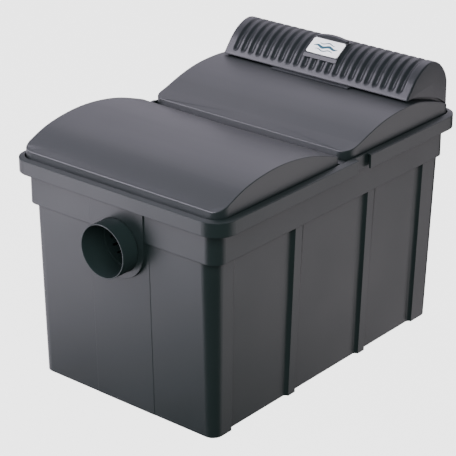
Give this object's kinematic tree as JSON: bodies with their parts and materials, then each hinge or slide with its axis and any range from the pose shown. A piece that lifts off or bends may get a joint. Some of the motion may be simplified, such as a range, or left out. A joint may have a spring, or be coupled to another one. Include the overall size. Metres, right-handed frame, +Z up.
{
  "type": "pond filter box",
  "caption": "Ribbed pond filter box with two arched lift-off lids, a grooved hood over a lamp unit, and a round outlet pipe.",
  "frame": {"origin": "centre of the tub's flat underside, on the ground", "axes": "+Z up, the outlet pipe points along -Y, the hood is at the +Y end, X runs across the box"},
  "size_m": [0.5364, 0.8322, 0.5968],
  "materials": {
    "tub_black": "moulded polyethylene, satin",
    "lid_black": "moulded plastic, fine satin grain",
    "hood_black": "moulded plastic, satin",
    "label_white": "printed plate, gloss",
    "pipe_grey": "extruded PVC, smooth",
    "rubber": "EPDM rubber",
    "foam_black": "coarse open-cell foam",
    "foam_blue": "medium open-cell foam",
    "foam_light": "fine open-cell foam",
    "net_bag": "nylon net filled with ceramic rings",
    "stainless": "stainless steel",
    "bristle_green": "nylon bristles",
    "unit_black": "glass-filled plastic",
    "quartz": "clear quartz",
    "lamp_glass": "lamp glass, gloss",
    "ceramic_white": "glazed ceramic",
    "ballast_grey": "moulded case"
  },
  "bodies": {
    "tub": {"tub": "tub_black", "lid_support_bar": "tub_black", "rear_partition": "tub_black", "front_partition": "tub_black", "foam_guide_rails": "tub_black", "media_grid": "tub_black", "outlet_pipe": "pipe_grey", "outlet_seal": "rubber", "outlet_screen": "pipe_grey", "foam_coarse": "foam_black", "foam_medium": "foam_blue", "foam_fine": "foam_light", "media_bags": "net_bag", "brush_hangers": "stainless", "brush_rods": "stainless", "brush_bristles": "bristle_green", "drain_stub": "pipe_grey", "drain_gasket": "rubber", "drain_lock_nut": "pipe_grey"},
    "front_lid": {"front_lid": "lid_black"},
    "union_nut": {"union_nut": "unit_black"},
    "drain_cap": {"drain_cap": "pipe_grey"},
    "hood": {"vent_hood": "hood_black", "badge_pad": "hood_black", "badge_label": "label_white"},
    "rear_lid": {"rear_lid": "lid_black", "hood_front_tab": "hood_black", "uvc_canister": "unit_black", "uvc_end_cap": "unit_black", "uvc_o_ring": "rubber", "quartz_sleeve": "quartz", "uvc_lamp": "lamp_glass", "lamp_holder": "ceramic_white", "cable_gland": "unit_black", "ballast_box": "ballast_grey", "canister_clamps": "unit_black", "clamp_screws": "stainless", "hose_tail": "unit_black", "hose_tail_gasket": "rubber", "canister_outlet": "unit_black", "outlet_lock_nut": "unit_black"}
  },
  "joints": [
    {"name": "front_lid_lift", "type": "slide", "parent": "tub", "child": "front_lid", "axis": [0, 0, 1], "range_m": [0, 0.1]},
    {"name": "rear_lid_lift", "type": "slide", "parent": "tub", "child": "rear_lid", "axis": [0, 0, 1], "range_m": [0, 0.12]},
    {"name": "hood_lift", "type": "slide", "parent": "rear_lid", "child": "hood", "axis": [0, 0, 1], "range_m": [0, 0.12]},
    {"name": "union_nut_turn", "type": "hinge", "parent": "rear_lid", "child": "union_nut", "pos_m": [-0.15, 0.35, 0.511], "axis": [0, 1, 0], "continuous": true},
    {"name": "drain_cap_turn", "type": "hinge", "parent": "tub", "child": "drain_cap", "pos_m": [-0.12, 0.4, 0.048], "axis": [0, 1, 0], "continuous": true}
  ]
}
